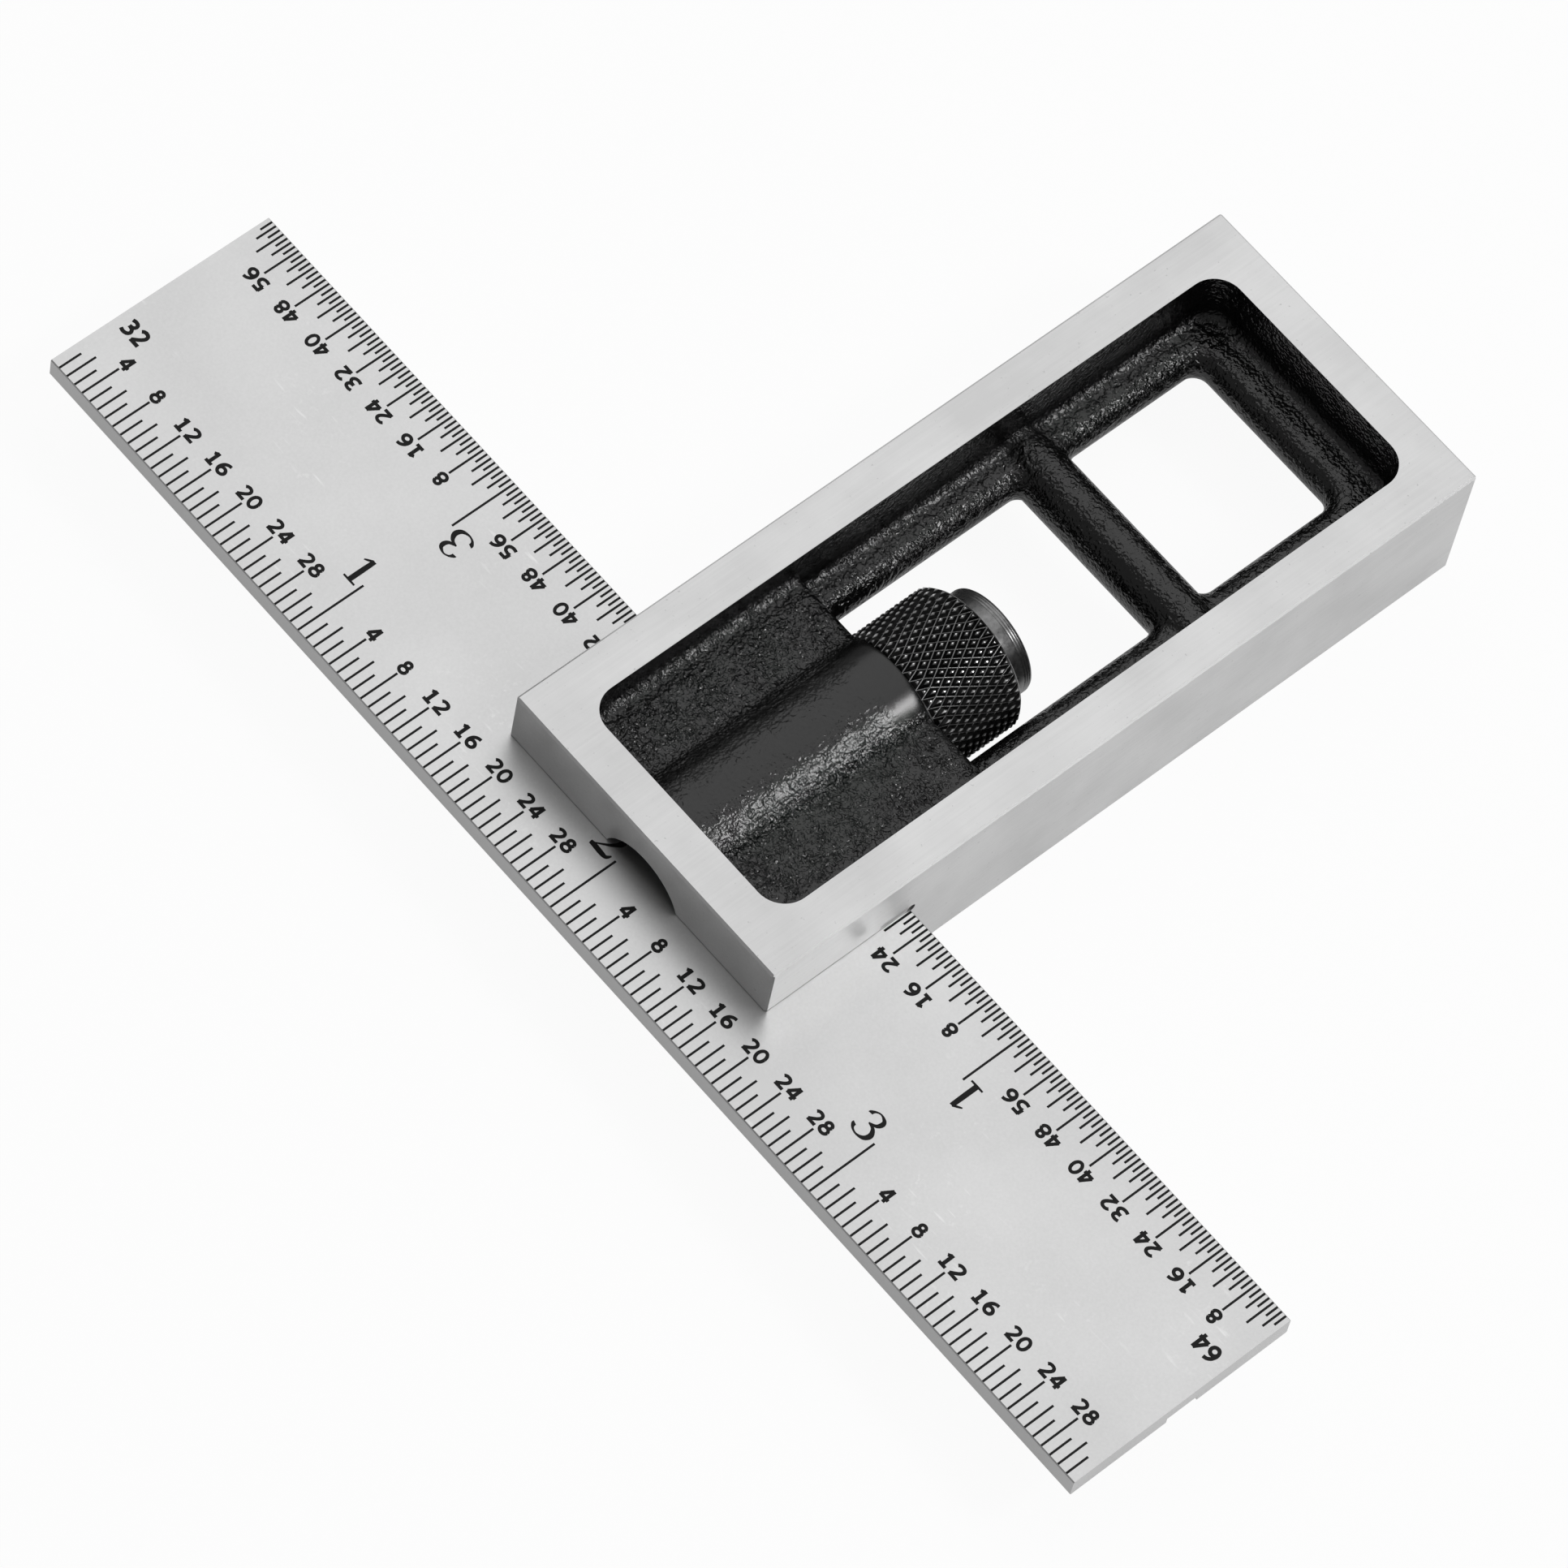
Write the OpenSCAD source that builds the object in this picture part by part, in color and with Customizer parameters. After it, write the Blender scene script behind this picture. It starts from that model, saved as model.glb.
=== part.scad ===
// Double square: a graduated blade slides through the slot of a cast head.
// A hooked bolt in the head pulls on a groove under the blade, and a knurled nut draws it tight.
// Sizes are in millimetres. X runs along the head, Y along the blade, Z up from the face it lies on.
// The origin is the middle of the whole object, on the plane that it rests on.

/* [Blade] */
// Length of the blade, which carries four inches of graduations
blade_l = 101.6; // [90:0.2:152.4]
// Width of the blade
blade_w = 18.4; // [17:0.1:19.2]
// Thickness of the blade
blade_t = 1.75; // [1.2:0.05:2]
// Break along the long edges of the blade
blade_break = 0.08; // [0.05:0.01:0.15]
// Width of the groove along the underside
groove_w = 2.6; // [2.4:0.1:3.2]
// Depth of the groove
groove_d = 0.55; // [0.4:0.05:0.7]
// How far the head's centre stands from the blade's centre
head_offset = 1.4; // [-20:0.1:20]

/* [Head] */
// Length of the head, across the blade
head_l = 61.2; // [60:0.2:68]
// Width of the head between its long reference faces
head_w = 25.4; // [24:0.2:28]
// Thickness of the head
head_t = 11.6; // [11.4:0.1:12.4]
// Break on the outer edges of the head
edge_break = 0.15; // [0.1:0.05:0.3]
// How deep the blade sits in the slot at the end of the head
seat_d = 12.3; // [12:0.1:13]
// Depth of the blade's top face below the head's top face
blade_drop = 4.75; // [4.5:0.05:4.9]
// Depth of the bolt's axis below the head's top face
bolt_drop = 6.1; // [5.8:0.05:6.1]
// Clearance of the blade in its slot, on each side
slot_gap = 0.05; // [0.03:0.01:0.08]
// Radius of the reliefs in the slot's inner corners
relief_r = 0.35; // [0.25:0.05:0.45]

/* [Pocket] */
// Thickness of the long side walls at the rim
side_wall = 3.15; // [2.9:0.05:3.4]
// Thickness of the wall at the slotted end
near_wall = 3.2; // [2.8:0.1:3.6]
// Thickness of the wall at the far end
far_wall = 3; // [2.6:0.1:3.6]
// Corner radius of the pocket at its rim
pocket_r = 2.1; // [1.8:0.1:2.4]
// Draft of the pocket walls, in degrees
draft = 1; // [0.5:0.5:2]
// Fillet between the walls and what they stand on
fillet_r = 0.75; // [0.4:0.05:0.75]
// Depth of the shallow floor over the slot
floor_d = 2.35; // [2.1:0.05:2.5]
// Distance from the slotted end to the step that the nut bears on
step_x = 21.4; // [21:0.1:22]
// Thickness of the web round the windows, whose edge is fully rounded
web_t = 3; // [2.6:0.1:3.4]
// Width of the web ledge along the side walls
side_ledge = 2.9; // [2.4:0.1:3]
// Width of the web ledge at the far end
far_ledge = 3.4; // [3:0.1:4]
// Corner radius of the windows
window_r = 1; // [0.8:0.1:1.4]
// Distance from the slotted end to the middle of the cross rib
rib_x = 41.05; // [40:0.1:43]
// Radius of the cross rib, a round bar
rib_r = 2.1; // [1.9:0.05:2.3]
// Radius of the boss round the bolt
boss_r = 5.4; // [5.2:0.05:5.45]
// Fillet along the foot of the boss
boss_fillet = 0.4; // [0.3:0.05:0.5]

/* [Clamp] */
// How far the bolt's axis stands from the middle of the head, toward -Y
bolt_aside = 0.45; // [0:0.05:0.6]
// Radius of the bore that guides the bolt's body
bore_r = 3.7; // [3.5:0.05:3.9]
// Running clearance of the bolt in its bores and of the nut on its thread
run_gap = 0.06; // [0.03:0.01:0.1]
// Radius of the bolt's threaded shank
shank_r = 2.4; // [2:0.1:2.4]
// Thickness of the wall that the spring pushes on, behind the step
spring_wall = 2.5; // [2:0.1:3]
// How far the bolt moves out as the nut is slackened by one turn
release = 0.8; // [0.6:0.05:0.85]
// Length of the full round part of the bolt's body
collar_l = 1.6; // [1.4:0.1:2]
// How far the bolt's end stands back from the end of the head
bolt_back = 0.9; // [0.6:0.1:1.2]
// Length of the lip that reaches up into the groove
lip_l = 1.6; // [1.4:0.1:1.6]
// Clearance over and behind the lip
lip_gap = 0.08; // [0.05:0.01:0.1]
// Wire diameter of the release spring
wire_d = 0.5; // [0.4:0.05:0.6]
// Number of turns of the release spring
spring_turns = 4; // [3:1:5]
// Radius of the nut over its knurl
nut_r = 5.45; // [5:0.05:5.45]
// Length of the knurled barrel, with its bevels
barrel_l = 6.9; // [6:0.1:7.5]
// Length of the bevels at the ends of the barrel
bevel_l = 0.4; // [0.3:0.05:0.6]
// Depth of those bevels
bevel_d = 0.35; // [0.25:0.05:0.5]
// Radius of the plain collar of the nut
neck_r = 4; // [3.6:0.1:4.2]
// Length of the plain collar of the nut
neck_l = 2.05; // [1.6:0.05:2.4]
// Break of the collar's rim and of the thread's mouths
rim_break = 0.3; // [0.2:0.05:0.4]
// How far the bolt's end stands back inside the nut
shank_back = 0.8; // [0.4:0.1:1.2]

/* [Hidden] */

// Length that a cut runs past the face that it opens, and a join runs into what it joins
over = 0.5;
// Sides of a full circle
$fn = 64;

// Places along X
outer_x = -(head_l + blade_w - seat_d) / 2;
seat_x = outer_x + blade_w;
end_x = seat_x - seat_d;
far_x = end_x + head_l;
nut_x = end_x + step_x;
rib_mid_x = end_x + rib_x;
// Places across the head, and heights
head_y = -head_offset;
bolt_y = head_y - bolt_aside;
mid_z = head_t / 2;
blade_top_z = head_t - blade_drop;
blade_low_z = blade_top_z - blade_t;
axis_z = head_t - bolt_drop;
// Pocket and windows
web_r = web_t / 2;
ledge_d = mid_z - web_r;
pocket_w = head_w - 2 * side_wall;
pocket_x0 = end_x + near_wall;
pocket_x1 = far_x - far_wall;
window_w = pocket_w - 2 * side_ledge;
window_x1 = pocket_x1 - far_ledge;
rib_edge = rib_r - 0.2;
// Flats that stand in for the curve of a wall's fillet
fillet_steps = 8;
// Depth at which the fillet of the shallow floor meets the wall
mouth_d = floor_d - fillet_r + fillet_r * sin(draft);
// How far a fillet of the boss dips into what it joins, so that they cross cleanly
dip = 0.005;
// Bolt and spring
body_r = bore_r - run_gap;
groove_mid_x = outer_x + blade_w / 2 + 0.2;
lip_x1 = groove_mid_x + groove_w / 2 - lip_gap;
collar_x0 = seat_x + slot_gap + release + 2 * lip_gap;
collar_x1 = collar_x0 + collar_l;
spring_x1 = nut_x - spring_wall;
coil_r = (bore_r + shank_r) / 2;
bolt_end_x = nut_x + barrel_l + neck_l - shank_back;
// Facets of the spring's wire and of one turn
wire_sides = 8;
turn_steps = 20;

// Box with every edge broken, centred across Y, standing on z = 0 and starting at x = 0
module broken_box(l, w, t, c) {
    intersection() {
        linear_extrude(t) broken_rectangle(l, w, c);
        translate([0, w / 2, t / 2]) rotate([90, 0, 0])
            linear_extrude(w) broken_rectangle(l, t, c);
        translate([0, 0, t / 2]) rotate([90, 0, 90])
            linear_extrude(l) translate([-w / 2, 0]) broken_rectangle(w, t, c);
    }
}

module broken_rectangle(l, w, c) {
    polygon([
        [c, -w / 2], [l - c, -w / 2], [l, c - w / 2], [l, w / 2 - c],
        [l - c, w / 2], [c, w / 2], [0, w / 2 - c], [0, c - w / 2]
    ]);
}

// Sweep of an outline round the sides of a rectangle from x0 to x1, with what lies inside it.
// The outline is drawn outwards from the centre of the corner radius, between two heights.
// An open start has no side at x0, so the sweep ends there in a plain face.
module swept_cut(x0, x1, width, radius, low, high, open_start) {
    half = width / 2 - radius;
    first = open_start ? x0 : x0 + radius;
    last = x1 - radius;
    translate([first, -half, low]) cube([last - first, 2 * half, high - low]);
    straight([last, half, 0], last - first, 90) children();
    straight([first, -half, 0], last - first, -90) children();
    straight([last, -half, 0], 2 * half, 0) children();
    bend([last, -half, 0], 270) children();
    bend([last, half, 0], 0) children();
    if (!open_start) {
        straight([first, half, 0], 2 * half, 180) children();
        bend([first, half, 0], 90) children();
        bend([first, -half, 0], 180) children();
    }
}

module straight(from, length, turn) {
    translate(from) rotate([0, 0, turn]) rotate([90, 0, 0])
        translate([0, 0, -length]) linear_extrude(length) children();
}

module bend(centre, turn) {
    translate(centre) rotate([0, 0, turn]) rotate_extrude(angle = 90) children();
}

// Reach of a pocket's drafted wall from the centre of its corner radius, at a height off its mouth
function wall_at(height) = [pocket_r + height * tan(draft), height];

// Outline of a pocket's side at its mouth, down to where the shallow floor's fillet starts
module mouth_outline() {
    polygon([[0, -mouth_d], wall_at(-mouth_d), wall_at(over), [0, over]]);
}

// Outline of a pocket's side from there down to its floor, with a fillet along the foot
module foot_outline(depth) {
    centre = [wall_at(fillet_r - depth)[0] - fillet_r / cos(draft), fillet_r - depth];
    last = depth > floor_d ? fillet_steps : fillet_steps - 1;
    fillet = [for (i = [0 : last])
        let (a = -90 + (90 - draft) * i / fillet_steps)
        centre + fillet_r * [cos(a), sin(a)]];
    polygon(concat([[0, -depth]], fillet, [wall_at(-mouth_d), [0, -mouth_d]]));
}

// Outline of a window's side, which leaves the edge of the web fully round
module round_edge_outline() {
    difference() {
        translate([0, -web_r - over]) square([window_r + web_r, web_t + 2 * over]);
        translate([window_r + web_r, 0]) circle(web_r);
    }
}

// Both pockets: a shallow floor over the slot, then down to the web beyond the step
module pockets() {
    for (face = [[0, 1], [head_t, 0]])
        translate([0, 0, face[0]]) mirror([0, 0, face[1]]) {
            swept_cut(pocket_x0, pocket_x1, pocket_w, pocket_r, -mouth_d, over, false)
                mouth_outline();
            translate([pocket_x0 + nut_x, 0, 0]) mirror([1, 0, 0])
                swept_cut(pocket_x0, nut_x, pocket_w, pocket_r, -floor_d, -mouth_d, true)
                    foot_outline(floor_d);
            swept_cut(nut_x, pocket_x1, pocket_w, pocket_r, -ledge_d, -mouth_d, true)
                foot_outline(ledge_d);
        }
}

module windows() {
    reach = web_r + over;
    translate([0, 0, mid_z]) {
        swept_cut(nut_x, rib_mid_x - rib_edge, window_w, window_r, -reach, reach, true)
            round_edge_outline();
        swept_cut(rib_mid_x + rib_edge, window_x1, window_w, window_r, -reach, reach, false)
            round_edge_outline();
    }
}

// Boss round the bolt, with fillets along its foot on both floors
module boss() {
    length = nut_x - pocket_x0 + over;
    translate([nut_x - length, 0, axis_z]) rotate([0, 90, 0]) cylinder(h = length, r = boss_r);
    for (side = [-1, 1]) {
        foot_fillet(side, 1, head_t - floor_d - axis_z, length);
        foot_fillet(side, -1, axis_z - floor_d, length);
    }
}

// Fillet where the boss meets a floor that stands at the given height above or below its axis
module foot_fillet(side, up, height, length) {
    reach = sqrt(pow(boss_r + boss_fillet, 2) - pow(height + boss_fillet, 2));
    inside = (boss_r - boss_fillet) / (boss_r + boss_fillet);
    inner = reach * inside;
    top = (height + boss_fillet) * inside;
    translate([nut_x - length, 0, axis_z]) rotate([90, 0, 90])
        linear_extrude(length)
            difference() {
                polygon([
                    [side * inner, up * top], [side * reach, up * (height + boss_fillet)],
                    [side * reach, up * (height - over)], [side * inner, up * (height - over)]
                ]);
                translate([side * reach, up * (height + boss_fillet)])
                    circle(boss_fillet + dip);
            }
}

module rib() {
    length = pocket_w + 2 * over;
    translate([rib_mid_x, length / 2, mid_z]) rotate([90, 0, 0])
        cylinder(h = length, r = rib_r);
}

// Slot that the blade slides through, with round reliefs in its inner corners
module slot() {
    low = blade_low_z - slot_gap;
    high = blade_top_z + slot_gap;
    length = head_w + 2 * over;
    translate([end_x - over, -length / 2, low])
        cube([seat_d + over + slot_gap, length, high - low]);
    for (z = [low, high])
        translate([seat_x + slot_gap, length / 2, z]) rotate([90, 0, 0])
            cylinder(h = length, r = relief_r);
}

// Bore of the bolt's body, and the smaller hole of its shank through to the step
module bolt_bores() {
    translate([end_x - over, -bolt_aside, axis_z]) rotate([0, 90, 0])
        cylinder(h = spring_x1 - end_x + over, r = bore_r);
    translate([end_x, -bolt_aside, axis_z]) rotate([0, 90, 0])
        cylinder(h = step_x + over, r = shank_r + run_gap);
}

module head() {
    color("silver") translate([0, head_y, 0])
        difference() {
            union() {
                difference() {
                    translate([end_x, 0, 0]) broken_box(head_l, head_w, head_t, edge_break);
                    pockets();
                    windows();
                }
                rib();
                boss();
            }
            slot();
            bolt_bores();
        }
}

// Blade, with the groove that the bolt's lip pulls on along its underside
module blade() {
    c = blade_break;
    g0 = groove_mid_x - groove_w / 2 - outer_x;
    g1 = g0 + groove_w;
    color("gainsboro") translate([outer_x, blade_l / 2, blade_low_z]) rotate([90, 0, 0])
        linear_extrude(blade_l)
            polygon([
                [c, 0], [g0, 0], [g0, groove_d], [g1, groove_d], [g1, 0], [blade_w - c, 0],
                [blade_w, c], [blade_w, blade_t - c], [blade_w - c, blade_t],
                [c, blade_t], [0, blade_t - c], [0, c]
            ]);
}

// Bolt: a half-round tongue under the blade with a lip, a round body, and a threaded shank
module clamp_bolt() {
    start = end_x + bolt_back;
    tongue_z = blade_low_z - lip_gap;
    color("dimgray") translate([0, bolt_y, 0])
        difference() {
            union() {
                intersection() {
                    translate([start, 0, axis_z]) rotate([0, 90, 0])
                        cylinder(h = collar_x1 - start, r = body_r);
                    union() {
                        translate([start, -bore_r, axis_z - bore_r])
                            cube([collar_x1 - start, 2 * bore_r, tongue_z - axis_z + bore_r]);
                        translate([collar_x0, -bore_r, axis_z - bore_r])
                            cube([collar_l, 2 * bore_r, 2 * bore_r]);
                        translate([lip_x1 - lip_l, -bore_r, axis_z - bore_r])
                            cube([lip_l, 2 * bore_r,
                                blade_low_z + groove_d - lip_gap - axis_z + bore_r]);
                    }
                }
                translate([collar_x0, 0, axis_z]) rotate([0, 90, 0])
                    cylinder(h = bolt_end_x - collar_x0, r = shank_r);
            }
            // Chamfer at the end of the thread
            translate([bolt_end_x, 0, axis_z]) rotate([0, 90, 0])
                rotate_extrude() polygon([
                    [shank_r - rim_break, 0], [shank_r + over, -rim_break - over],
                    [shank_r + over, over], [shank_r - rim_break, over]
                ]);
        }
}

// Release spring, a plain helix of round wire between the bolt's body and the spring wall
function coil_point(a, r, z) = [z, r * cos(a), r * sin(a)];
function wire_ring(i, steps, run) =
    let (turn = 360 * spring_turns * i / steps, lift = run * i / steps)
    [for (k = [0 : wire_sides - 1])
        let (w = 360 * k / wire_sides)
        coil_point(turn, coil_r + wire_d / 2 * cos(w), lift + wire_d / 2 * sin(w))];

module release_spring() {
    steps = turn_steps * spring_turns;
    run = spring_x1 - collar_x1 - wire_d - 2 * lip_gap;
    points = [for (i = [0 : steps]) each wire_ring(i, steps, run)];
    sides = [for (i = [0 : steps - 1], k = [0 : wire_sides - 1])
        let (m = (k + 1) % wire_sides, a = i * wire_sides, b = a + wire_sides)
        [a + k, a + m, b + m, b + k]];
    first = [[for (k = [wire_sides - 1 : -1 : 0]) k]];
    last = [[for (k = [0 : wire_sides - 1]) steps * wire_sides + k]];
    color("dimgray") translate([collar_x1 + wire_d / 2 + lip_gap, bolt_y, axis_z])
        polyhedron(points, concat(first, sides, last), convexity = 8);
}

// Nut: a barrel with bevelled ends for the knurl, then a plain collar, threaded right through
module lock_nut() {
    end = barrel_l + neck_l;
    hole = shank_r + run_gap;
    color("dimgray") translate([nut_x, bolt_y, axis_z]) rotate([0, 90, 0])
        rotate_extrude()
            polygon([
                [hole + rim_break, 0], [nut_r - bevel_d, 0], [nut_r, bevel_l],
                [nut_r, barrel_l - bevel_l], [nut_r - bevel_d, barrel_l], [neck_r, barrel_l],
                [neck_r, end - rim_break], [neck_r - rim_break, end],
                [hole + rim_break, end], [hole, end - rim_break], [hole, rim_break]
            ]);
}

head();
blade();
clamp_bolt();
release_spring();
lock_nut();
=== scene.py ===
"""Looks of a small double square: ground cast head, satin chrome blade, knurled lock nut.

Everything is in metres in the CAD frame: X along the head, Y along the blade, Z up.
Sizes below are in millimetres, and MM turns them to metres.
"""

import math
from collections import namedtuple

import bmesh
import bpy
from mathutils import Matrix, Vector


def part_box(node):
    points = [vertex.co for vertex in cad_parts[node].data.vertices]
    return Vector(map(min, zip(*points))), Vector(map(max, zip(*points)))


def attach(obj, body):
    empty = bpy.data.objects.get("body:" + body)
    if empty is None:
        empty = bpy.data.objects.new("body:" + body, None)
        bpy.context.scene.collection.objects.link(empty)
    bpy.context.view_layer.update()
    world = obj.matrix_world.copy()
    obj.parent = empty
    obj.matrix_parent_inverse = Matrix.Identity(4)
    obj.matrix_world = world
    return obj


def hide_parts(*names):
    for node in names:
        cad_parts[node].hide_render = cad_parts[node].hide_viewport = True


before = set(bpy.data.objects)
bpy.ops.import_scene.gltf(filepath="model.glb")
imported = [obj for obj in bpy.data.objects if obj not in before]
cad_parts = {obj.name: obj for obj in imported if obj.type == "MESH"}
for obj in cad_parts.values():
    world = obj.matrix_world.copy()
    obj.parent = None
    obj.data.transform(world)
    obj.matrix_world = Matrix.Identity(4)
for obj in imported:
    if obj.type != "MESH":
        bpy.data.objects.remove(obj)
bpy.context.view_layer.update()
MM = 0.001
INCH = 25.4

# Corners of the nodes that carry the looks, and sizes worked out from them
blade_low, blade_high = (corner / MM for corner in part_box("blade"))
nut_low, nut_high = (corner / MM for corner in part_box("lock_nut"))
head_low, head_high = (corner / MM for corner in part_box("head"))
outer_x, inner_x = blade_low.x, blade_high.x
blade_top, blade_under = blade_high.z, blade_low.z
head_middle = (head_low + head_high) / 2
nut_axis = Vector((nut_low.x, (nut_low.y + nut_high.y) / 2, (nut_low.z + nut_high.z) / 2))
nut_r = (nut_high.y - nut_low.y) / 2

# Sizes inside the head: radius of the bolt's bore, radius of the boss, depth of the floor
# beside the boss, thickness of a long wall at its foot, and how far that foot is from the
# head's middle
bore_r = 3.7
boss_r = 5.4
floor_d = 2.35
side_wall = 3.15
wall_y = (head_high.y - head_low.y) / 2 - side_wall

# The lock nut: its length, the length of its knurled barrel, the bevel at each end of the
# barrel, the collar's radius, the bore's radius, and the depth and bottom of the knurl's
# grooves. The knurl has 90 places round it, and ten steps along the barrel.
nut_l = nut_high.x - nut_low.x
barrel_l = nut_l - 2.05
bevel_l, bevel_r = 0.4, nut_r - 0.35
collar_r = 4.0
nut_bore_r = 2.46
knurl_d = 0.32
valley_r = nut_r - knurl_d
around, rows = 90, 10
row_step = (barrel_l - 2 * bevel_l) / rows

# The black fill of the blade's marks: how far it stands proud and goes in, the width of a
# line, and the heights of the small and the large numbers
proud, sunk = 0.012, 0.02
mark_w = 0.16
small_h, large_h = 1.15, 2.3
blade_inches = 4


def linear(hex_colour):
    """An sRGB hex colour, such as "8a8a88", as the linear RGBA that a shader takes."""
    parts = [int(hex_colour[i:i + 2], 16) / 255 for i in (0, 2, 4)]
    return [p / 12.92 if p <= 0.04045 else ((p + 0.055) / 1.055) ** 2.4 for p in parts] + [1.0]


def add(tree, kind, inputs=None, out=0, stops=(), **settings):
    """Adds a node with its settings and links, and returns one of its outputs.

    Each input is given a value or another node's output. Stops, which only a colour ramp
    has, are pairs of a place and a hex colour or a grey value.
    """
    made = tree.nodes.new("ShaderNode" + kind)
    for name, value in settings.items():
        setattr(made, name, value)
    for name, value in (inputs or {}).items():
        if isinstance(value, bpy.types.NodeSocket):
            tree.links.new(value, made.inputs[name])
        else:
            made.inputs[name].default_value = value
    for i, (place, colour) in enumerate(stops):
        elements = made.color_ramp.elements
        stop = elements[i] if i < len(elements) else elements.new(place)
        stop.position = place
        stop.color = linear(colour) if isinstance(colour, str) else [colour] * 3 + [1]
    return made.outputs[out] if len(made.outputs) else None


def material(name):
    """An empty node material, its tree, and the place on the object in millimetres."""
    made = bpy.data.materials.new(name)
    made.use_nodes = True
    tree = made.node_tree
    tree.nodes.clear()
    spot = add(tree, "Mapping", {"Vector": add(tree, "TexCoord", out="Object"),
                                 "Scale": (1 / MM, 1 / MM, 1 / MM)})
    return made, tree, spot


def distance_from_axis(tree, spot, axis):
    """How far a place is from a line along X through a point, in millimetres."""
    beside = add(tree, "VectorMath", {0: spot, 1: axis}, operation="SUBTRACT")
    across = add(tree, "VectorMath", {0: beside, 1: (0, 1, 1)}, operation="MULTIPLY")
    return add(tree, "VectorMath", {0: across}, operation="LENGTH", out="Value")


def piece(name, mesh, body, finish):
    """A named object made from a bmesh, which rides on a body."""
    shape = bpy.data.meshes.new(name)
    mesh.to_mesh(shape)
    mesh.free()
    shape.materials.append(finish)
    made = bpy.data.objects.new(name, shape)
    bpy.context.scene.collection.objects.link(made)
    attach(made, body)
    return made


def where_ground(tree, spot):
    """1 on the six outside planes of the head and on the breaks along their edges, 0 inside."""
    side_margin, rim_margin = 0.2, 0.02
    margins = Vector((side_margin, side_margin, rim_margin))
    ground_from = (head_high - head_low) / 2 - margins
    inward = add(tree, "VectorMath", {0: spot, 1: head_middle}, operation="SUBTRACT")
    inward = add(tree, "VectorMath", {0: inward}, operation="ABSOLUTE")
    inward = add(tree, "VectorMath", {0: inward, 1: ground_from}, operation="SUBTRACT")
    beyond = [add(tree, "SeparateXYZ", {0: inward}, out=axis) for axis in "XYZ"]
    furthest = add(tree, "Math", {0: beyond[0], 1: beyond[1]}, operation="MAXIMUM")
    furthest = add(tree, "Math", {0: furthest, 1: beyond[2]}, operation="MAXIMUM")
    return add(tree, "Math", {0: furthest, 1: 0}, operation="GREATER_THAN")


def where_machined(tree, spot, x, z):
    """1 in the bolt's bore and in the blade's slot, 0 elsewhere inside the head."""
    bore_play, slot_play, end_play = 0.02, 0.1, 0.15
    off_axis = distance_from_axis(tree, spot, nut_axis)
    in_bore = add(tree, "Math", {0: off_axis, 1: bore_r + bore_play}, operation="LESS_THAN")
    before_step = add(tree, "Math", {0: x, 1: nut_low.x - slot_play}, operation="LESS_THAN")
    in_bore = add(tree, "Math", {0: in_bore, 1: before_step}, operation="MULTIPLY")
    off_slot = add(tree, "Math", {0: z, 1: (blade_top + blade_under) / 2}, operation="SUBTRACT")
    off_slot = add(tree, "Math", {0: off_slot}, operation="ABSOLUTE")
    in_slot = add(tree, "Math", {0: off_slot, 1: (blade_top - blade_under) / 2 + slot_play},
                  operation="LESS_THAN")
    before_end = add(tree, "Math", {0: x, 1: inner_x + end_play}, operation="LESS_THAN")
    in_slot = add(tree, "Math", {0: in_slot, 1: before_end}, operation="MULTIPLY")
    return add(tree, "Math", {0: in_bore, 1: in_slot}, operation="MAXIMUM")


def ground_iron(tree, spot):
    """Surface ground iron, and the same iron where it was bored or milled: dulled by oil, and
    darkened with painted shade of the bore and the slot.

    It has lines along the head, faint clouds and pores. The lines are drawn 0.18 mm wide,
    coarser than the 0.05 mm of the real grit, so that they show.
    """
    line_w, cloud_w, pore_w = 0.18, 6.7, 0.25
    along = add(tree, "Mapping", {"Vector": spot, "Scale": (0.03, 1, 1)})
    lines = add(tree, "TexNoise", {"Vector": along, "Scale": 1 / line_w})
    clouds = add(tree, "TexNoise", {"Vector": spot, "Scale": 1 / cloud_w, "Detail": 5})
    pores = add(tree, "TexNoise", {"Vector": spot, "Scale": 1 / pore_w, "Detail": 1})
    open_pores = add(tree, "ValToRGB", {0: pores}, stops=((0.2, 0.6), (0.27, 1.0)))
    tone = add(tree, "Math", {0: lines, 1: 0.25, 2: clouds}, operation="MULTIPLY_ADD")
    bright = add(tree, "ValToRGB", {0: tone}, stops=((0.42, "c8c8c8"), (0.8, "d9d9d9")))
    colour = add(tree, "MixRGB", {"Fac": open_pores, "Color1": linear("9a9a9a"),
                                  "Color2": bright})
    relief = add(tree, "Math", {0: lines, 1: pores}, operation="ADD")
    relief = add(tree, "Bump", {"Height": relief, "Strength": 0.2, "Distance": 0.004 * MM})
    rough = add(tree, "Math", {0: clouds, 1: 0.12, 2: 0.37}, operation="MULTIPLY_ADD")
    iron = add(tree, "BsdfPrincipled", {"Base Color": colour, "Metallic": 1.0,
                                        "Roughness": rough, "Normal": relief})
    # Dark grey in the bore and the slot: painted shade of those recesses, as well as oil
    oiled_with_painted_shade = add(tree, "BsdfPrincipled", {"Base Color": linear("403f3e"), "Metallic": 0.8,
                                         "Roughness": 0.45, "Normal": relief})
    return iron, oiled_with_painted_shade


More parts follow.
